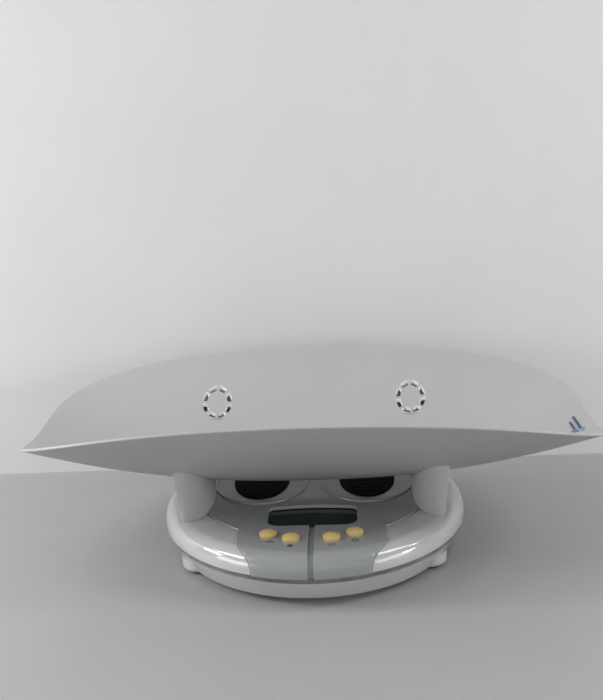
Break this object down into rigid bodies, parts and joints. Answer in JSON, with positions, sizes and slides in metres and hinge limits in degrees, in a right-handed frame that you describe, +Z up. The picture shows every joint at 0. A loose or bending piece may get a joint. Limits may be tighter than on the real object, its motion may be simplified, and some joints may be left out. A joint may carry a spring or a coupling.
{
  "type": "animal weighing scale",
  "caption": "Digital weighing scale with a low elliptical platform, front control console and a long curved lift-off tray on two posts.",
  "frame": {"origin": "on the table, under the centre of the base", "axes": "+X to the user's right along the tray, +Y to the back, +Z up"},
  "size_m": [0.5696, 0.3273, 0.1722],
  "materials": {
    "tray_plastic": "satin moulded white ABS",
    "gloss_white": "glossy moulded white ABS",
    "satin_white": "satin moulded white ABS",
    "black_rubber": "ribbed black rubber",
    "grey_rubber": "soft brown-grey seal",
    "foot_rubber": "dark rubber",
    "button_yellow": "pale yellow-tan plastic",
    "tinted_lens": "dark tinted acrylic window",
    "black_foam": "black foam gasket",
    "lcd_module": "dark green-black liquid-crystal cell",
    "carrier_grey": "moulded carrier",
    "circuit_green": "green circuit board",
    "keypad_rubber": "grey silicone",
    "steel_plate": "zinc-plated steel",
    "screw_steel": "zinc-plated steel",
    "spring_steel": "nickel-plated spring steel",
    "battery_wrap": "plain dark cell wrap",
    "lead_wrap": "insulated wire",
    "plug_plastic": "moulded plug"
  },
  "bodies": {
    "base": {"battery_cells": "battery_wrap", "battery_contacts": "spring_steel", "battery_springs": "spring_steel", "dust_seal": "grey_rubber", "foot_front_left": "foot_rubber", "foot_front_right": "foot_rubber", "foot_rear_left": "foot_rubber", "foot_rear_right": "foot_rubber", "load_cell_front_left": "steel_plate", "load_cell_front_right": "steel_plate", "load_cell_rear_left": "steel_plate", "load_cell_rear_right": "steel_plate", "load_cell_screws": "screw_steel", "lower_housing": "gloss_white", "sensor_leads": "lead_wrap", "sensor_plug": "plug_plastic"},
    "platform": {"top_cover": "gloss_white", "deck_panel": "satin_white", "left_tread_pad": "black_rubber", "right_tread_pad": "black_rubber", "console_panel": "satin_white", "console_screws": "screw_steel", "display_gasket": "black_foam", "display_lens": "tinted_lens", "display_module": "lcd_module", "display_carrier": "carrier_grey", "control_board": "circuit_green", "board_screws": "screw_steel", "keypad_mat": "keypad_rubber", "support_frame": "steel_plate", "frame_screws": "screw_steel", "tie_screws": "screw_steel"},
    "tray_unit": {"tray": "tray_plastic", "left_post": "tray_plastic", "right_post": "tray_plastic"},
    "battery_door": {"battery_door": "gloss_white"},
    "button_zero": {"button_zero": "button_yellow"},
    "button_hold": {"button_hold": "button_yellow"},
    "button_units": {"button_units": "button_yellow"},
    "button_power": {"button_power": "button_yellow"}
  },
  "joints": [
    {"name": "platform_sink", "type": "slide", "parent": "base", "child": "platform", "axis": [0, 0, -1], "range_m": [0, 0.0008], "stiffness_N_per_m": 60000, "springref_m": -0.0005},
    {"name": "tray_lift", "type": "slide", "parent": "platform", "child": "tray_unit", "axis": [0, 0, 1], "range_m": [0, 0.08]},
    {"name": "battery_door_slide", "type": "slide", "parent": "base", "child": "battery_door", "axis": [0, 1, 0], "range_m": [0, 0.066]},
    {"name": "press_zero", "type": "slide", "parent": "platform", "child": "button_zero", "axis": [0, 0, -1], "range_m": [0, 0.0012], "stiffness_N_per_m": 900, "springref_m": -0.0003},
    {"name": "press_hold", "type": "slide", "parent": "platform", "child": "button_hold", "axis": [0, 0, -1], "range_m": [0, 0.0012], "stiffness_N_per_m": 900, "springref_m": -0.0003},
    {"name": "press_units", "type": "slide", "parent": "platform", "child": "button_units", "axis": [0, 0, -1], "range_m": [0, 0.0012], "stiffness_N_per_m": 900, "springref_m": -0.0003},
    {"name": "press_power", "type": "slide", "parent": "platform", "child": "button_power", "axis": [0, 0, -1], "range_m": [0, 0.0012], "stiffness_N_per_m": 900, "springref_m": -0.0003}
  ]
}
